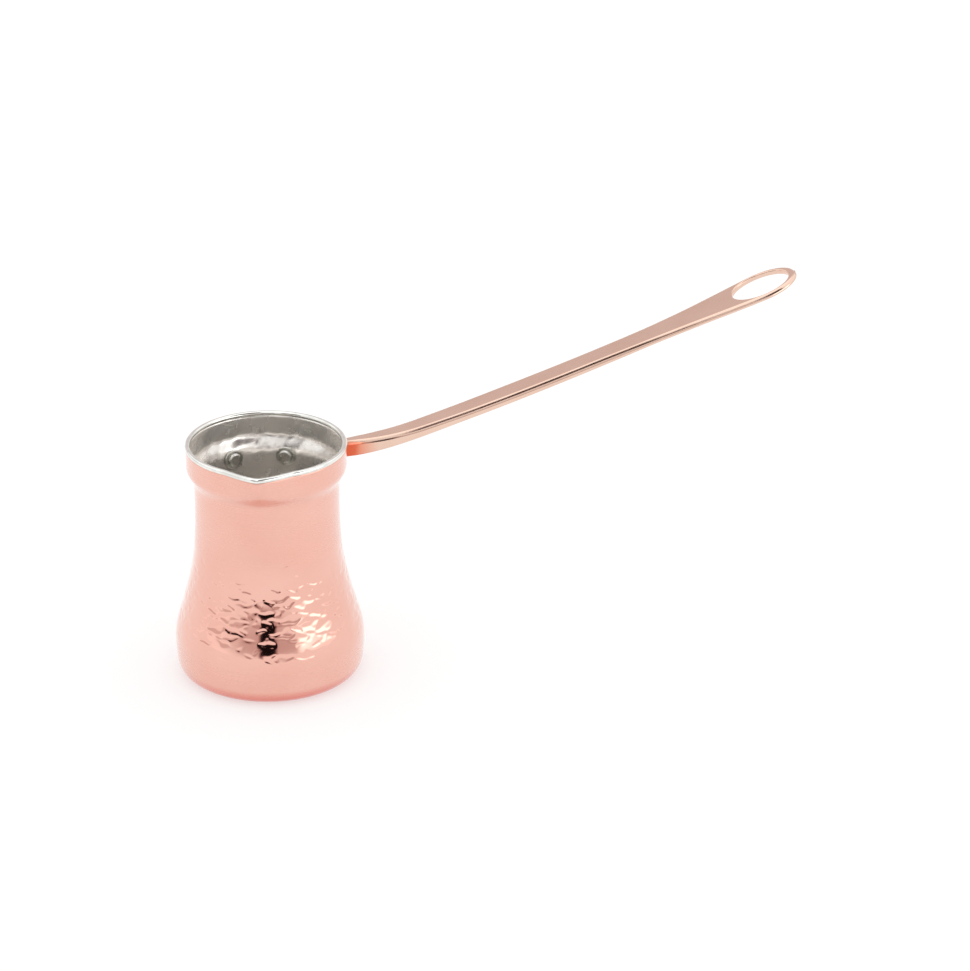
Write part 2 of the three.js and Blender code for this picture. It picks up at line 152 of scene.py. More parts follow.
def pot_outline():
    """The pot's outer line as (radius, height), from the base's middle to the rim's seat."""
    foot = BELLY_RADIUS - BELLY_TAPER
    lean = BELLY_RADIUS - NECK_RADIUS
    rise = NECK_FOOT - BELLY_HEIGHT
    corner = (BELLY_RADIUS - BASE_CORNER_WIDTH, 0)
    parts = [
        np.array([[0, 0]]),
        np.linspace((0, 0), corner, 40)[1:],
        quadratic(corner, (foot - BASE_CORNER_LEAN, 0), (foot, BASE_CORNER_HEIGHT), 60),
        quadratic((foot, BASE_CORNER_HEIGHT),
                  (BELLY_RADIUS, (BASE_CORNER_HEIGHT + BELLY_HEIGHT) / 2),
                  (BELLY_RADIUS, BELLY_HEIGHT), 60),
        bezier((BELLY_RADIUS, BELLY_HEIGHT),
               (BELLY_RADIUS - BELLY_PULL_IN * lean, BELLY_HEIGHT + BELLY_PULL_UP * rise),
               (NECK_RADIUS, NECK_FOOT - NECK_PULL_DOWN * rise), (NECK_RADIUS, NECK_FOOT), 160),
        np.linspace((NECK_RADIUS, NECK_FOOT), (NECK_RADIUS, FLARE_FOOT), 30)[1:],
        bezier((NECK_RADIUS, FLARE_FOOT), (NECK_RADIUS, (FLARE_FOOT + FLARE_TOP) / 2),
               (COLLAR_RADIUS, (FLARE_FOOT + FLARE_TOP) / 2), (COLLAR_RADIUS, FLARE_TOP), 60),
        np.linspace((COLLAR_RADIUS, FLARE_TOP), (COLLAR_RADIUS, SEAT), 40)[1:],
    ]
    line = np.vstack(parts)
    # Eases the turns at the widest ring and under the collar, which spun metal rounds off
    lengths = np.r_[0, np.cumsum(np.hypot(*np.diff(line, axis=0).T))]
    even = np.arange(0, lengths[-1], EASE_STEP)
    radius, height = (np.interp(even, lengths, line[:, k]) for k in (0, 1))
    kernel = np.exp(-0.5 * (np.arange(-EASE_STEPS, EASE_STEPS + 1) * EASE_STEP / EASE_WIDTH) ** 2)
    kernel /= kernel.sum()
    soft_radius, soft_height = (
        np.convolve(np.pad(v, EASE_STEPS, mode="edge"), kernel, mode="valid")
        for v in (radius, height))
    at_belly = np.clip(1 - np.abs(height - BELLY_HEIGHT) / EASE_BELLY_SPAN, 0, 1)
    at_flare = np.clip(2 - np.abs(height - FLARE_FOOT) / EASE_FLARE_SPAN, 0, 1)
    near = np.maximum(at_belly, EASE_FLARE_SHARE * at_flare)
    near = near * near * (3 - 2 * near)
    eased = np.column_stack([radius + (soft_radius - radius) * near,
                             height + (soft_height - height) * near])
    return np.vstack([eased, line[-1]])


OUTLINE = pot_outline()


def layer(distance, spacing):
    """The outline moved inwards by a distance."""
    along = np.gradient(OUTLINE, axis=0)
    along /= np.maximum(np.hypot(*along.T), 1e-9)[:, None]
    moved = OUTLINE + distance * np.column_stack([-along[:, 1], along[:, 0]])
    moved[0] = (0, distance)
    moved[-1] = (moved[-1, 0], SEAT)
    moved[:, 0] = np.maximum(moved[:, 0], 0)
    line = resampled(moved, spacing)
    line[0] = (0, distance)
    return line


def beak_push(angle, height):
    away = np.abs((angle - BEAK_ANGLE + 180) % 360 - 180) / BEAK_HALF_ANGLE
    nosed = np.hypot(away, BEAK_NOSE) - BEAK_NOSE
    across = np.clip(1 - nosed, 0, 1) ** BEAK_SHARPNESS
    t = np.clip((height - (SEAT - BEAK_DEPTH)) / (BEAD_RADIUS + BEAK_DEPTH), 0, 1)
    return BEAK_REACH * across * t * t * t * (t * (6 * t - 15) + 10)


# ---- Hammer marks: shallow overlapping dents in rows round the belly ----

HAMMER_LOW, HAMMER_HIGH = 20, 50.5
ROW_PITCH = 3.1
MARK_SPACING = 4.6
MARK_RADIUS = 12
MARK_REACH = 5  # no mark is felt further than this above or below its middle
MARK_FLATNESS, MARK_STEEPNESS = 0.5, 1.9  # round the belt and upright: wider than tall
MARK_BLEND = 0.0003  # rounds the ridges where marks meet
SKIPPED, SKIPPED_AT_EDGE = 0.1, 0.4
SHALLOWEST, DEEPEST, DEPTH_AT_EDGE = 0.06, 0.2, 0.7
BELT = 2 * math.pi * 31  # the marks' places are measured round this line


def hammer_marks():
    """Every mark as (place round the belt, height, depth, curve radius, tilt)."""
    marks = []
    rows = int(round((HAMMER_HIGH - HAMMER_LOW) / ROW_PITCH))
    count = int(BELT / MARK_SPACING)
    for row in range(rows + 1):
        height = HAMMER_LOW + (HAMMER_HIGH - HAMMER_LOW) * row / rows
        at_edge = row in (0, 1, rows - 1, rows)
        shift = rng.uniform(0, 1)
        for i in range(count):
            place = (i + shift + rng.normal(0, 0.2)) / count * BELT
            if rng.uniform() < (SKIPPED_AT_EDGE if at_edge else SKIPPED):
                continue
            depth = rng.uniform(SHALLOWEST, DEEPEST) * (DEPTH_AT_EDGE if at_edge else 1)
            marks.append((place, height + rng.normal(0, 0.8), depth,
                          MARK_RADIUS * rng.uniform(0.5, 1.6), rng.uniform(-0.04, 0.04)))
    return np.array(marks)


MARKS = hammer_marks()


def hammer_depth(angles, heights):
    """How far the dents go in, for each height (rows) and angle (columns), in degrees."""
    turn = np.radians(angles)
    belt = (angles % 360) / 360 * BELT
    depth = np.zeros((len(heights), len(angles)))
    for row, height in enumerate(heights):
        if not HAMMER_LOW - MARK_REACH < height < HAMMER_HIGH + MARK_REACH:
            continue
        # A slow wander keeps the marks from being true discs
        place = (belt + 1.1 * np.sin(9 * turn + 0.9 * height)
                 + 0.6 * np.sin(23 * turn - 1.7 * height))
        wander = (height + 0.5 * np.sin(14 * turn + 1.1 * height)
                  + 0.3 * np.sin(37 * turn + 0.6 * height))
        for at, up, deep, curve, tilt in MARKS[np.abs(MARKS[:, 1] - height) < MARK_REACH]:
            across = (place - at + BELT / 2) % BELT - BELT / 2
            rise = wander - up
            bowl = (MARK_FLATNESS * across ** 2 + MARK_STEEPNESS * rise ** 2) / (2 * curve)
            dent = deep - bowl - tilt * rise
            depth[row] = np.maximum(depth[row], (dent + np.sqrt(dent ** 2 + MARK_BLEND)) / 2)
    return depth


# ---- Turned pieces ----

ON_AXIS = 1e-9  # a smaller radius is a point on the axis


def lathe_faces(on_axis, first, count):
    """Faces between rings of count points. A ring on the axis has one point."""
    faces = []
    spans = len(first) - 1 if on_axis[0] else len(first)
    for i in range(spans):
        j = (i + 1) % len(first)
        for k in range(count):
            m = (k + 1) % count
            if on_axis[i]:
                faces.append((first[i], first[j] + m, first[j] + k))
            elif on_axis[j]:
                faces.append((first[i] + k, first[i] + m, first[j]))
            else:
                faces.append((first[i] + k, first[i] + m, first[j] + m, first[j] + k))
    return faces


def turned(name, profile, angles, depth=None):
    """Turns a profile round the pot's axis. depth, for each profile point, goes inwards."""
    radians = np.radians(angles)
    on_axis = [radius <= ON_AXIS for radius, _ in profile]
    verts, first = [], []
    for i, (radius, height) in enumerate(profile):
        first.append(len(verts))
        if on_axis[i]:
            verts.append((0, 0, height))
            continue
        reach = radius + beak_push(angles, height)
        if depth is not None and depth[i] is not None:
            reach = reach - depth[i]
        level = np.full(len(angles), height)
        verts.extend(zip(reach * np.cos(radians), reach * np.sin(radians), level))
    return add_mesh(name, verts, lathe_faces(on_axis, first, len(angles)))


FINE_STEPS = 600
ANGLES = np.arange(FINE_STEPS) * 360 / FINE_STEPS + BEAK_ANGLE
HAMMER_SPACING, PLAIN_SPACING, INNER_SPACING, LINING_SPACING, FLAT_SPACING = 0.32, 0.7, 1.4, 0.6, 4


def outer_spacing(height, radius):
    if HAMMER_LOW - 3 < height < HAMMER_HIGH + 3 and radius > 20:
        return HAMMER_SPACING
    return PLAIN_SPACING


def inner_spacing(usual):
    """Spacing for a line inside the pot, wider over the flat floor."""
    return lambda height, radius: FLAT_SPACING if height < 3 and radius < 22 else usual


def make_shell():
    outside = layer(SKIN, outer_spacing)
    inside = layer(SHELL_WALL, inner_spacing(INNER_SPACING))[::-1]
    rows = list(hammer_depth(ANGLES, outside[:, 1])) + [None] * len(inside)
    return turned("copper_body", np.vstack([outside, inside]), ANGLES, rows)


ECHO_SHARE = 0.45  # how much of a dent shows through the wall
WAVE_HEIGHT, WAVES = 0.02, 26
MOST_INWARD = 0.08


def make_lining():
    outside = layer(LINING_OUTSIDE, inner_spacing(INNER_SPACING))
    inside = layer(WHOLE_WALL, inner_spacing(LINING_SPACING))[::-1]
    angles = ANGLES[::2]
    turn, heights = np.radians(angles), inside[:, 1:2]
    # The dents show faintly through the wall, and the wiped tin lies a little uneven
    echo = -ECHO_SHARE * hammer_depth(angles, inside[:, 1])
    wave = np.zeros_like(echo)
    for _ in range(WAVES):
        order, tall = rng.integers(3, 34), rng.uniform(0.15, 1.1)
        strength, phase = rng.uniform(0.2, 1), rng.uniform(0, 6.3)
        wave += strength * np.cos(order * turn[None] + tall * heights + phase)
    fade = np.clip((SEAT - 1.5 - heights) / 4, 0, 1)
    echo = np.minimum(echo + WAVE_HEIGHT * wave * fade, MOST_INWARD)
    rows = [None] * len(outside) + list(echo)
    return turned("tin_lining_inside", np.vstack([outside, inside]), angles, rows)


def make_rim():
    half_seat = WHOLE_WALL / 2
    drop = math.sqrt(BEAD_RADIUS ** 2 - half_seat ** 2)
    top = BEAD_TOP - SEAT - drop
    start = -math.asin(drop)
    steps = 26
    profile = []
    for i in range(steps + 1):
        turn = start + (math.pi - 2 * start) * i / steps
        lift = min(drop + BEAD_RADIUS * math.sin(turn), drop + top)
        lift = 0 if i in (0, steps) else lift
        reach = (BEAD_RADIUS - 0.01) * math.cos(turn)
        profile.append((COLLAR_RADIUS - half_seat + reach, SEAT + lift))
    return turned("tinned_rim", profile, ANGLES)


# ---- Handle ----

def on_ring(radius, angle, height):
    turn = math.radians(angle)
    return np.array([radius * math.cos(turn), radius * math.sin(turn), height])


def slope(degrees):
    return math.tan(math.radians(degrees))


GRIP_START = np.array([BEND_END_X, GRIP_OFFSET, STRAP_HEIGHT + BEND_RISE])
GRIP_FINISH_X = LOOP_CENTRE_X + LOOP_LENGTH / 2 * math.cos(math.radians(GRIP_END_PITCH))
SLOPE_GROWTH = (slope(GRIP_END_PITCH) - slope(GRIP_START_PITCH)) / (GRIP_FINISH_X - BEND_END_X)


def grip_point(x):
    run = x - BEND_END_X
    height = GRIP_START[2] + slope(GRIP_START_PITCH) * run + SLOPE_GROWTH * run * run / 2
    along = np.array([1, 0, slope(GRIP_START_PITCH) + SLOPE_GROWTH * run])
    return np.array([x, GRIP_OFFSET, height]), along


def bar_line(last_x):
    """Centres and directions along the bar, from the strap's free end to last_x."""
    line = []
    for angle in np.linspace(STRAP_START_ANGLE, STRAP_END_ANGLE, 60, endpoint=False):
        turn = math.radians(angle)
        way = np.array([math.sin(turn), -math.cos(turn), 0])
        line.append((on_ring(STRAP_RADIUS, angle, STRAP_HEIGHT), way))
    turn = math.radians(STRAP_END_ANGLE)
    peel = on_ring(STRAP_RADIUS, STRAP_END_ANGLE, STRAP_HEIGHT)
    hand = (BEND_END_X - peel[0]) * BEND_HANDOVER
    p1 = peel + hand * np.array([math.sin(turn), -math.cos(turn), slope(PEEL_PITCH)])
    p2 = GRIP_START - hand * np.array([1, 0, slope(GRIP_START_PITCH)])
    for t in np.linspace(0, 1, 70, endpoint=False):
        at = ((1 - t) ** 3 * peel + 3 * (1 - t) ** 2 * t * p1
              + 3 * (1 - t) * t * t * p2 + t ** 3 * GRIP_START)
        way = 3 * ((1 - t) ** 2 * (p1 - peel) + 2 * (1 - t) * t * (p2 - p1)
                   + t * t * (GRIP_START - p2))
        line.append((at, way))
    line += [grip_point(x) for x in np.linspace(BEND_END_X, last_x, 200)]
    return line


# The bar's width and height as (x, size)
BAR_WIDTHS = [
    (BEND_END_X - 40, STRAP_THICKNESS), (BEND_END_X - 28, 4.8), (BEND_END_X - 18, 7.4),
    (BEND_END_X - 8, 8.6), (BEND_END_X + 10, 9.6), (BEND_END_X + 30, 10.4), (BEND_END_X + 68, 10.7),
    (LOOP_CENTRE_X - 43, 11.6), (LOOP_CENTRE_X - 27, 14), (LOOP_CENTRE_X - 12, 17.6),
    (LOOP_CENTRE_X - 5, 19.4), (LOOP_CENTRE_X, LOOP_WIDTH), (LOOP_CENTRE_X + 30, LOOP_WIDTH),
]
BAR_HEIGHTS = [
    (BEND_END_X - 40, STRAP_WIDTH), (BEND_END_X - 28, 6.6), (BEND_END_X - 18, 5.4),
    (BEND_END_X - 6, 4.2), (BEND_END_X + 13, 3.5), (BEND_END_X + 68, 3),
    (LOOP_CENTRE_X - 43, 2.5), (LOOP_CENTRE_X, LOOP_HEIGHT), (LOOP_CENTRE_X + 30, LOOP_HEIGHT),
]


def smooth_size(table, x, reach=5):
    """The listed size at x, averaged over a short reach so that it changes gently."""
    xs, sizes = zip(*table)
    return float(np.mean(np.interp(np.linspace(x - reach, x + reach, 9), xs, sizes)))


ACROSS_STEPS = 16  # points from the middle of the bar's top to each edge
EDGE_WIDTH, EDGE_DROP, FOOT_ROUND = 1.1, 1.8, 0.6  # rounding of the upper and the lower edges
EDGE_CROWN = 1.45  # 1 would be a flat bevel, and 2 a round


def edge_fall(distance, width, drop):
    """How far a rounded edge has fallen, at a distance in from the bar's outline."""
    inside = np.clip(1 - distance / width, 0, 1)
    return drop * (1 - np.maximum(1 - inside ** EDGE_CROWN, 0) ** (1 / EDGE_CROWN))


def bar_ring(centre, along, half_width, height, tip_distance=None):
    """One ring of the bar. tip_distance gives how near the loop's end is, for places across."""
    along = along / np.linalg.norm(along)
    across = np.cross((0, 0, 1), along)
    across /= np.linalg.norm(across)
    up = np.cross(along, across)
    places = half_width * np.sin(np.pi / 2 * np.linspace(-1, 1, 2 * ACROSS_STEPS + 1))
    distance = half_width - np.abs(places)
    if tip_distance is not None:
        distance = np.minimum(distance, tip_distance(places))
    # The roundings shrink with the bar, so that they never meet
    size = min(2 * half_width + 1.5, 10)
    width = min(EDGE_WIDTH, 0.24 * size)
    drop = min(EDGE_DROP, 0.62 * height, 0.5 * size)
    foot = min(FOOT_ROUND, 0.24 * height, 0.2 * size)
    top = height / 2 - edge_fall(distance, width, drop)
    bottom = -height / 2 + edge_fall(distance, foot, foot)
    ring = [centre + across * x + up * z for x, z in zip(places[::-1], top[::-1])]
    ring += [centre + across * x + up * z for x, z in zip(places, bottom)]
    return ring


def loop_outline_distance(x):
    """Distance to the loop's round end for places across the bar at x."""
    reach = GRIP_FINISH_X - LOOP_CENTRE_X
    half = smooth_size(BAR_WIDTHS, LOOP_CENTRE_X) / 2 - SKIN
    turns = np.linspace(-math.pi / 2, math.pi / 2, 361)
    pitch = math.cos(math.radians(GRIP_END_PITCH))
    outline = np.column_stack([reach * np.cos(turns) / pitch, half * np.sin(turns)])

    def distance(places):
        at = np.column_stack([np.full(len(places), (x - LOOP_CENTRE_X) / pitch), places])
        return np.sqrt(((at[:, None] - outline[None]) ** 2).sum(2)).min(1)
    return distance


BLUNTING = 0.4
LOOP_RINGS = 90


def make_handle():
    rings = []
    for centre, along in bar_line(LOOP_CENTRE_X):
        width = smooth_size(BAR_WIDTHS, centre[0])
        height = smooth_size(BAR_HEIGHTS, centre[0])
        rings.append(bar_ring(centre, along, width / 2 - SKIN, height - 2 * SKIN))
    # The strap's free end is eased
    start, start_along = bar_line(LOOP_CENTRE_X)[0]
    blunt = []
    for t in (1, 0.75, 0.5, 0.25):
        shrink = BLUNTING * (1 - math.cos(math.pi / 2 * t))
        centre = start - start_along * BLUNTING * math.sin(math.pi / 2 * t)
        blunt.append(bar_ring(centre, start_along, STRAP_THICKNESS / 2 - SKIN - shrink,
                              STRAP_WIDTH - 2 * SKIN - 2 * shrink))
    rings = blunt + rings
    loop_half = smooth_size(BAR_WIDTHS, LOOP_CENTRE_X) / 2 - SKIN
    for i in range(1, LOOP_RINGS + 1):
        turn = math.pi / 2 * i / LOOP_RINGS
        x = LOOP_CENTRE_X + (GRIP_FINISH_X - LOOP_CENTRE_X) * math.sin(turn)
        centre, along = grip_point(x)
        height = smooth_size(BAR_HEIGHTS, x) - 2 * SKIN
        half_width = max(loop_half * math.cos(turn), 0.02)
        rings.append(bar_ring(centre, along, half_width, height, loop_outline_distance(x)))
    verts, faces = stacked(rings)
    bar = add_mesh("copper_handle", verts, faces)
    weld(bar)

    centre, along = grip_point(LOOP_CENTRE_X)
    along = along / np.linalg.norm(along)
    up = np.cross(along, (0, 1, 0))
    boolean_cut(bar, hole_cutter(centre, up, along, HOLE_LENGTH / 2, HOLE_WIDTH / 2,
                                 LOOP_HEIGHT / 2 - SKIN, 0.5))
    for angle in RIVET_ANGLES.values():
        outward, upright = on_ring(1, angle, 0), np.array([0, 0, 1.0])
        place = on_ring(STRAP_RADIUS, angle, STRAP_HEIGHT)
        boolean_cut(bar, hole_cutter(place, outward, upright, RIVET_HOLE_RADIUS, RIVET_HOLE_RADIUS,
                                     STRAP_THICKNESS / 2, 0.1))
    bar.data.shade_smooth()
    bar.data.set_sharp_from_angle(angle=math.radians(35))
    return bar


def weld(piece):
    """Joins points that share a place and drops the faces that vanish with them."""
    work = bmesh.new()
    work.from_mesh(piece.data)
    bmesh.ops.remove_doubles(work, verts=work.verts, dist=0.002 * MM)
    bmesh.ops.dissolve_degenerate(work, edges=work.edges, dist=0.001 * MM)
    bmesh.ops.recalc_face_normals(work, faces=work.faces)
    work.to_mesh(piece.data)
    work.free()
    piece.data.shade_smooth()


CUTTER_STEPS = 160


def hole_cutter(centre, axis, lengthwise, half_length, half_width, half_height, rounding):
    """A waisted plug, which leaves a hole with rounded edges."""
    sideways = np.cross(axis, lengthwise)
    arc = [math.radians(a) for a in (0, 14, 28, 42, 56, 68)]
    upper = [(half_height - rounding + rounding * math.sin(a), rounding * (1 - math.cos(a)))
             for a in arc]
    upper.append((upper[-1][0] + 0.4, upper[-1][1] + 1.0))
    turns = [2 * math.pi * i / CUTTER_STEPS for i in range(CUTTER_STEPS)]
    rings = [[centre + lengthwise * (half_length + out) * math.cos(turn)
              + sideways * (half_width + out) * math.sin(turn) + axis * lift for turn in turns]
             for lift, out in [(-lift, out) for lift, out in reversed(upper)] + upper]
    return add_mesh("cutter", *stacked(rings), smooth=False)


def boolean_cut(target, cutter):
    weld(cutter)
    change = target.modifiers.new("cut", "BOOLEAN")
    change.operation, change.solver, change.object = "DIFFERENCE", "EXACT", cutter
    bpy.context.view_layer.update()
    seen = target.evaluated_get(bpy.context.evaluated_depsgraph_get())
    result = bpy.data.meshes.new_from_object(seen)
    target.modifiers.clear()
    target.data = result
    bpy.data.objects.remove(cutter)


# ---- Rivets and burrs ----

def radial_turned(name, profile, angle, steps=48, wobble=0.0):
    """Turns (radius, distance from the pot's axis) about a line out through the wall."""
    outward = on_ring(1, angle, 0)
    sideways, upright = np.cross((0, 0, 1), outward), np.array([0, 0, 1])
    origin = np.array([0, 0, STRAP_HEIGHT])
    phases = rng.uniform(0, 6.3, 3)
    on_axis = [radius <= ON_AXIS for radius, _ in profile]
    verts, first = [], []
    for i, (radius, distance) in enumerate(profile):
        first.append(len(verts))
        middle = origin + outward * distance
        if on_axis[i]:
            verts.append(middle)
            continue
        for step in range(steps):
            turn = 2 * math.pi * step / steps
            waves = 0.5 * math.sin(2 * turn + phases[0]) + 0.5 * math.sin(5 * turn + phases[1])
            way = sideways * math.cos(turn) + upright * math.sin(turn)
            verts.append(middle + way * radius * (1 - wobble * (1 + waves) / 2))
    return add_mesh(name, verts, lathe_faces(on_axis, first, steps))


def dome(radius, height, start, direction, steps=9, flatness=3.2):
    """A flat-topped dome's line as (radius, distance), from its middle to its edge."""
    line = []
    for i in range(steps + 1):
        share = math.sin(math.pi / 2 * i / steps)
        line.append((radius * share, start + direction * height * math.sqrt(1 - share ** flatness)))
    line[0] = (0, line[0][1])
    return line


def make_rivet(place, angle):
    tail = dome(TAIL_RADIUS - SKIN, TAIL_HEIGHT, TAIL_SEAT, -1, flatness=9)
    head = dome(HEAD_RADIUS - SKIN, HEAD_HEIGHT, HEAD_SEAT, 1)[::-1]
    profile = tail + [(SHANK_RADIUS, TAIL_SEAT), (SHANK_RADIUS, HEAD_SEAT)] + head
    return radial_turned(f"rivet_{place}_turned", profile, angle, wobble=0.05)


def make_burr(place, angle):
    inner = BURR_SEAT - BURR_THICKNESS
    bore, outer = RIVET_HOLE_RADIUS, BURR_RADIUS - SKIN
    profile = [
        (bore, inner + 0.12), (bore + 0.12, inner + 0.02), (outer - 0.3, inner + 0.02),
        (outer - 0.1, inner + 0.1), (outer, inner + 0.26), (outer, BURR_SEAT - 0.06),
        (outer - 0.06, BURR_SEAT - 0.01), (bore, BURR_SEAT - 0.01),
    ]
    return radial_turned(f"burr_{place}_ring", profile, angle, wobble=0.04)


# ---- Materials ----

def material(name, colour, roughness):
    made = bpy.data.materials.new(name)
    made.use_nodes = True
    nodes, links = made.node_tree.nodes, made.node_tree.links
    shader = nodes["Principled BSDF"]
    shader.inputs["Base Color"].default_value = (*colour, 1)
    shader.inputs["Metallic"].default_value = 1.0
    shader.inputs["Roughness"].default_value = roughness
    return made, nodes, links, shader


def noise(nodes, links, scale, detail, stretch=(1, 1, 1), rough=0.5, distortion=0.0):
    place = nodes.new("ShaderNodeTexCoord")
    mapping = nodes.new("ShaderNodeMapping")
    mapping.inputs["Scale"].default_value = stretch
    texture = nodes.new("ShaderNodeTexNoise")
    texture.inputs["Scale"].default_value = scale
    texture.inputs["Detail"].default_value = detail
    texture.inputs["Roughness"].default_value = rough
    texture.inputs["Distortion"].default_value = distortion
    links.new(place.outputs["Object"], mapping.inputs["Vector"])
    links.new(mapping.outputs["Vector"], texture.inputs["Vector"])
    return texture.outputs["Fac"]


def remap(nodes, links, value, low, high, to_low, to_high):
    spread = nodes.new("ShaderNodeMapRange")
    spread.inputs["From Min"].default_value = low
    spread.inputs["From Max"].default_value = high
    spread.inputs["To Min"].default_value = to_low
    spread.inputs["To Max"].default_value = to_high
    links.new(value, spread.inputs["Value"])
    return spread.outputs["Result"]


def ramp(nodes, links, value, stops):
    made = nodes.new("ShaderNodeValToRGB")
    elements = made.color_ramp.elements
    while len(elements) > 1:
        elements.remove(elements[-1])
    elements[0].position, elements[0].color = stops[0][0], (*stops[0][1], 1)
    for at, colour in stops[1:]:
        added = elements.new(at)
        added.color = (*colour, 1)
    links.new(value, made.inputs["Fac"])
    return made.outputs["Color"]


# A Mix node's sockets share names, so its colour ones go by number
MIX_COLOUR_A, MIX_COLOUR_B, MIX_COLOUR_OUT = 6, 7, 2


def tinted(nodes, links, share, colour, tint):
    """The colour, turning to a tint where share is 1."""
    mix = nodes.new("ShaderNodeMix")
    mix.data_type = "RGBA"
    links.new(share, mix.inputs["Factor"])
    links.new(colour, mix.inputs[MIX_COLOUR_A])
    mix.inputs[MIX_COLOUR_B].default_value = (*tint, 1)
    return mix.outputs[MIX_COLOUR_OUT]


def place_on(nodes, links):
    """The position on the piece, in metres, as separate X, Y and Z outputs."""
    place = nodes.new("ShaderNodeTexCoord")
    split = nodes.new("ShaderNodeSeparateXYZ")
    links.new(place.outputs["Object"], split.inputs["Vector"])
    return split.outputs


def product(nodes, links, first, second):
    times = nodes.new("ShaderNodeMath")
    times.operation = "MULTIPLY"
    links.new(first, times.inputs[0])
    links.new(second, times.inputs[1])
    return times.outputs[0]


def bump(nodes, links, shader, height, strength, distance):
    made = nodes.new("ShaderNodeBump")
    made.inputs["Strength"].default_value = strength
    made.inputs["Distance"].default_value = distance
    links.new(height, made.inputs["Height"])
    links.new(made.outputs["Normal"], shader.inputs["Normal"])


def copper_body():
    """Polished copper: satin where it is smooth, bright where the hammer burnished it."""
    made, nodes, links, shader = material("body_copper", (0.94, 0.5, 0.385), 0.2)
    cloud = noise(nodes, links, 45, 3)
    colour = ramp(nodes, links, cloud, [(0.3, (0.835, 0.44, 0.35)), (0.7, (0.865, 0.485, 0.395))])
    height = place_on(nodes, links)["Z"]
    # Painted shade: the lowest few millimetres turn darker and redder, standing in for the floor's
    # contact shadow seen in the copper
    foot = remap(nodes, links, height, 0.003, 0.0062, 1, 0)
    with_painted_foot_shade = tinted(nodes, links, foot, colour, (0.78, 0.24, 0.19))
    links.new(with_painted_foot_shade, shader.inputs["Base Color"])
    under_top = remap(nodes, links, height, 0.0545, 0.0485, 0, 1)
    over_bottom = remap(nodes, links, height, 0.014, 0.019, 0, 1)
    band = product(nodes, links, under_top, over_bottom)
    lines = noise(nodes, links, 60, 4, stretch=(1, 1, 22))
    satin = remap(nodes, links, lines, 0.3, 0.7, 0.25, 0.33)
    bright = remap(nodes, links, cloud, 0.3, 0.7, 0.035, 0.07)
    mix = nodes.new("ShaderNodeMix")
    links.new(band, mix.inputs["Factor"])
    links.new(satin, mix.inputs["A"])
    links.new(bright, mix.inputs["B"])
    links.new(mix.outputs["Result"], shader.inputs["Roughness"])
    # The thin lacquer pales the copper where it turns away
    shader.inputs["Coat Weight"].default_value = 1.0
    shader.inputs["Coat Roughness"].default_value = 0.12
    return made


def copper_handle():
    """Forged and polished copper with fine lengthwise lines, and a painted reflection of the red
    pot on its sides near the root.
    """
    made, nodes, links, shader = material("handle_copper", (0.84, 0.52, 0.41), 0.18)
    lines = noise(nodes, links, 90, 4, stretch=(0.25, 6, 6))
    cloud = noise(nodes, links, 60, 3)
    colour = ramp(nodes, links, cloud, [(0.3, (0.78, 0.55, 0.44)), (0.7, (0.83, 0.6, 0.49))])
    # Painted reflection: faces that don't look up, within about 36 to 44 mm of the pot's axis, turn
    # red, standing in for the copper body mirrored in the handle's root
    facing = nodes.new("ShaderNodeNewGeometry")
    upward = nodes.new("ShaderNodeSeparateXYZ")
    links.new(facing.outputs["Normal"], upward.inputs["Vector"])
    pot_reflection_reach = remap(nodes, links, place_on(nodes, links)["X"], 0.036, 0.044, 1, 0)
    pot_reflection_sides = remap(nodes, links, upward.outputs["Z"], 0.15, 0.5, 1, 0)
    root = product(nodes, links, pot_reflection_reach, pot_reflection_sides)
    with_painted_pot_reflection = tinted(nodes, links, root, colour, (0.8, 0.25, 0.14))
    links.new(with_painted_pot_reflection, shader.inputs["Base Color"])
    links.new(remap(nodes, links, lines, 0.3, 0.7, 0.12, 0.2), shader.inputs["Roughness"])
    bump(nodes, links, shader, lines, 0.08, 0.00005)
    return made


def wiped_tin(name, low, high, light, bumps, metal=1.0):
    """Tin with its roughness between low and high, in patches of light and a darker shade."""
    made, nodes, links, shader = material(name, light, (low + high) / 2)
    shader.inputs["Metallic"].default_value = metal
    cloud = noise(nodes, links, 140, 5, rough=0.6, distortion=0.6)
    dark = tuple(0.86 * c for c in light)
    shade = ramp(nodes, links, cloud, [(0.35, dark), (0.6, light)])
    links.new(shade, shader.inputs["Base Color"])
    links.new(remap(nodes, links, cloud, 0.3, 0.7, high, low), shader.inputs["Roughness"])
    swirl = noise(nodes, links, 220, 3, rough=0.5, distortion=0.4)
    bump(nodes, links, shader, swirl, bumps, 0.00012)
    return made


COPPER = copper_body()
HANDLE_COPPER = copper_handle()
LINING_TIN = wiped_tin("lining_tin", 0.16, 0.34, (0.94, 0.905, 0.86), 0.9, metal=0.82)
RIM_TIN = wiped_tin("rim_tin", 0.06, 0.14, (0.87, 0.88, 0.84), 0.1)
RIVET_TIN = wiped_tin("rivet_tin", 0.2, 0.4, (0.72, 0.715, 0.67), 0.6)


def dress(piece, node, look):
    piece.data.materials.clear()
    piece.data.materials.append(look)
    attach(piece, "root")
    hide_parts(node)


dress(make_shell(), "body_shell", COPPER)
dress(make_lining(), "tin_lining", LINING_TIN)
dress(make_rim(), "rim_bead", RIM_TIN)
dress(make_handle(), "handle", HANDLE_COPPER)
for place_name, place_angle in RIVET_ANGLES.items():
    dress(make_rivet(place_name, place_angle), f"rivet_{place_name}", RIVET_TIN)
    dress(make_burr(place_name, place_angle), f"burr_{place_name}", RIVET_TIN)


# ---- Stage ----

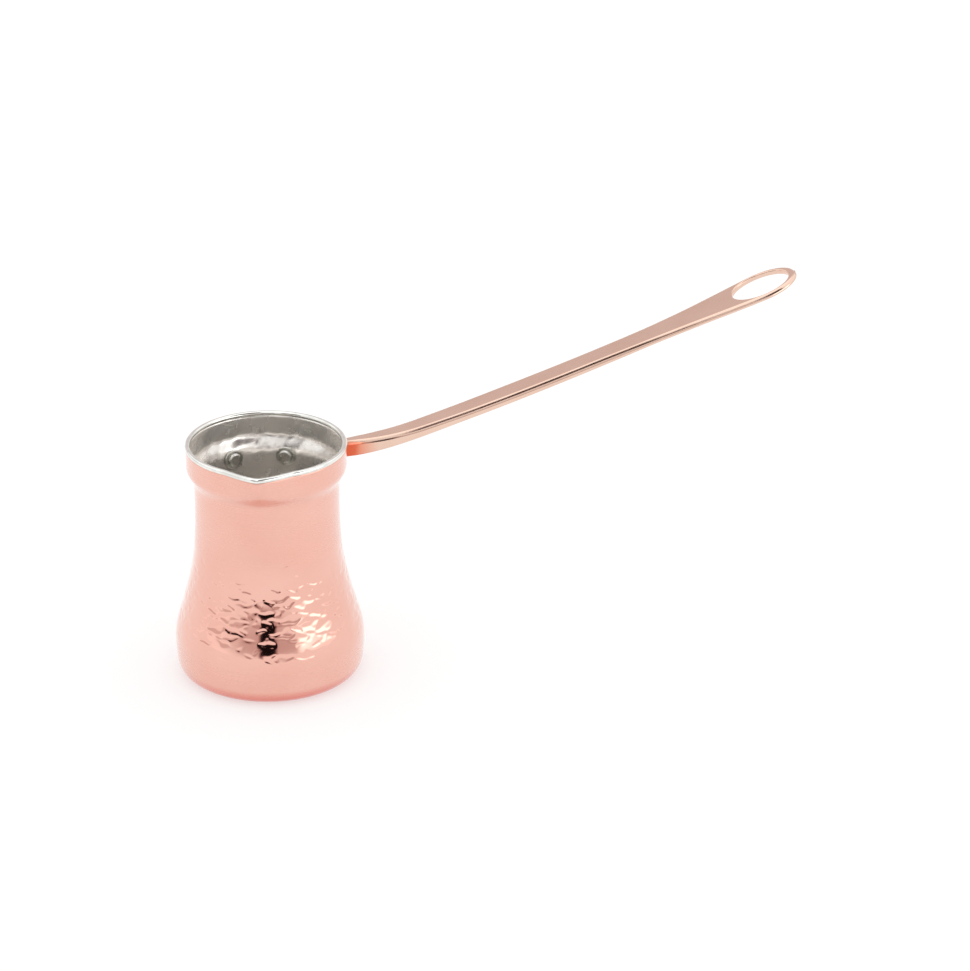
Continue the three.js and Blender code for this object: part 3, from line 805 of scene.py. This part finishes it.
def plain_material(name, colour, emission=0.0):
    made = bpy.data.materials.new(name)
    made.use_nodes = True
    shader = made.node_tree.nodes["Principled BSDF"]
    shader.inputs["Base Color"].default_value = (*colour, 1)
    shader.inputs["Roughness"].default_value = 0.9
    shader.inputs["Specular IOR Level"].default_value = 0.0
    shader.inputs["Emission Color"].default_value = (*colour, 1)
    shader.inputs["Emission Strength"].default_value = emission
    return made


FLOOR_HALF_SIZE = 8


def make_floor():
    size = FLOOR_HALF_SIZE
    mesh = bpy.data.meshes.new("floor")
    corners = [(-size, -size, 0), (size, -size, 0), (size, size, 0), (-size, size, 0)]
    mesh.from_pydata(corners, [], [(0, 1, 2, 3)])
    floor = bpy.data.objects.new("floor", mesh)
    bpy.context.scene.collection.objects.link(floor)
    floor.data.materials.append(plain_material("floor_white", (0.5, 0.5, 0.5), emission=1.1))


CAMERA_AZIMUTH, CAMERA_ELEVATION = -17, 24.34
CAMERA_RIGHT, CAMERA_UP, CAMERA_BACK = 0.0795, 0.067, 1.617  # from the origin, along its own axes


# Parts of the studio dome: left, right, low, high and softness in degrees, and glow
STUDIO_PATCHES = [
    (-400, 400, 52, 91, 14, 1.35),
    (140, 220, 12, 48, 12, 0.76),
    (-220, -140, 12, 48, 12, 0.76),
    (-140, -45, -10, 60, 20, 1.15),
    (70, 140, -10, 60, 20, 1.15),
    (-150, -30, 4, 17, 8, 0.78),
    (84, 150, 4, 17, 8, 0.82),
    (-34, 40, 4, 18, 10, 0.6),
    (-52, -22, 13, 36, 4, 0.02),
    (-10, 10, 1, 24, 5, 0.01),
    (12, 62, 32, 66, 6, 0.03),
    (38, 86, 4, 28, 10, 2.2),
]


def patch(bearing, elevation, left, right, low, high, soft):
    """1 inside a window of bearings and elevations, falling to 0 over a soft edge."""
    def edge(value):
        t = np.clip(value / soft + 0.5, 0, 1)
        return t * t * (3 - 2 * t)
    across = edge(bearing - left) * edge(right - bearing)
    return across * edge(elevation - low) * edge(high - elevation)


def studio_glow(bearing, elevation):
    """What the polished metal sees: bearings are from the camera's own, positive to its right."""
    glow = np.ones_like(bearing)
    for left, right, low, high, soft, level in STUDIO_PATCHES:
        share = patch(bearing, elevation, left, right, low, high, soft)
        glow = glow * (1 - share) + level * share
    return glow


DOME_RADIUS, DOME_CENTRE_HEIGHT = 1.6, 0.03
DOME_TINTS = [(0.2, (1, 0.62, 0.6)), (0.95, (1, 1, 1))]  # by glow: what is dim is also warm


def make_studio():
    """A dome seen only in reflections."""
    bearings, elevations = np.arange(0, 360, 2), np.arange(-2, 91, 1.5)
    verts, seen = [], []
    for elevation in elevations:
        e = math.radians(min(elevation, 89.9))
        for bearing in bearings:
            b = math.radians(CAMERA_AZIMUTH - 90 + bearing)
            verts.append((DOME_RADIUS * math.cos(e) * math.cos(b),
                          DOME_RADIUS * math.cos(e) * math.sin(b),
                          DOME_RADIUS * math.sin(e) + DOME_CENTRE_HEIGHT))
            seen.append(((bearing + 180) % 360 - 180, elevation))
    seen = np.array(seen, float)
    count = len(bearings)
    faces = [(r * count + i, r * count + (i + 1) % count,
              (r + 1) * count + (i + 1) % count, (r + 1) * count + i)
             for r in range(len(elevations) - 1) for i in range(count)]
    mesh = bpy.data.meshes.new("studio_dome")
    mesh.from_pydata(verts, [], faces)
    level = mesh.attributes.new("glow", "FLOAT", "POINT")
    glow = studio_glow(seen[:, 0], seen[:, 1])
    level.data.foreach_set("value", glow.astype(np.float32))
    dome_object = bpy.data.objects.new("studio_dome", mesh)
    bpy.context.scene.collection.objects.link(dome_object)
    look = bpy.data.materials.new("studio_glow")
    look.use_nodes = True
    nodes, links = look.node_tree.nodes, look.node_tree.links
    nodes.remove(nodes["Principled BSDF"])
    shine = nodes.new("ShaderNodeEmission")
    read = nodes.new("ShaderNodeAttribute")
    read.attribute_name = "glow"
    links.new(read.outputs["Fac"], shine.inputs["Strength"])
    warm = ramp(nodes, links, read.outputs["Fac"], DOME_TINTS)
    links.new(warm, shine.inputs["Color"])
    links.new(shine.outputs[0], nodes["Material Output"].inputs["Surface"])
    dome_object.data.materials.append(look)
    dome_object.visible_camera = False
    dome_object.visible_diffuse = False
    dome_object.visible_shadow = False


def make_world():
    world = bpy.data.worlds.new("studio")
    bpy.context.scene.world = world
    world.use_nodes = True
    world.node_tree.nodes["Background"].inputs["Color"].default_value = (1, 1, 1, 1)
    world.node_tree.nodes["Background"].inputs["Strength"].default_value = 1.0


def make_camera():
    data = bpy.data.cameras.new("camera")
    camera = bpy.data.objects.new("camera", data)
    bpy.context.scene.collection.objects.link(camera)
    a, e = math.radians(CAMERA_AZIMUTH), math.radians(CAMERA_ELEVATION)
    back = Vector((math.sin(a) * math.cos(e), -math.cos(a) * math.cos(e), math.sin(e)))
    right = Vector((math.cos(a), math.sin(a), 0))
    up = back.cross(right)
    data.lens, data.sensor_width = 161.4, 36
    data.clip_start, data.clip_end = 0.05, 30
    camera.location = right * CAMERA_RIGHT + up * CAMERA_UP + back * CAMERA_BACK
    camera.rotation_mode = "QUATERNION"
    camera.rotation_quaternion = Matrix((right, up, back)).transposed().to_quaternion()
    bpy.context.scene.camera = camera


make_floor()
make_studio()
make_world()
make_camera()
bpy.context.scene.view_settings.view_transform = "Standard"
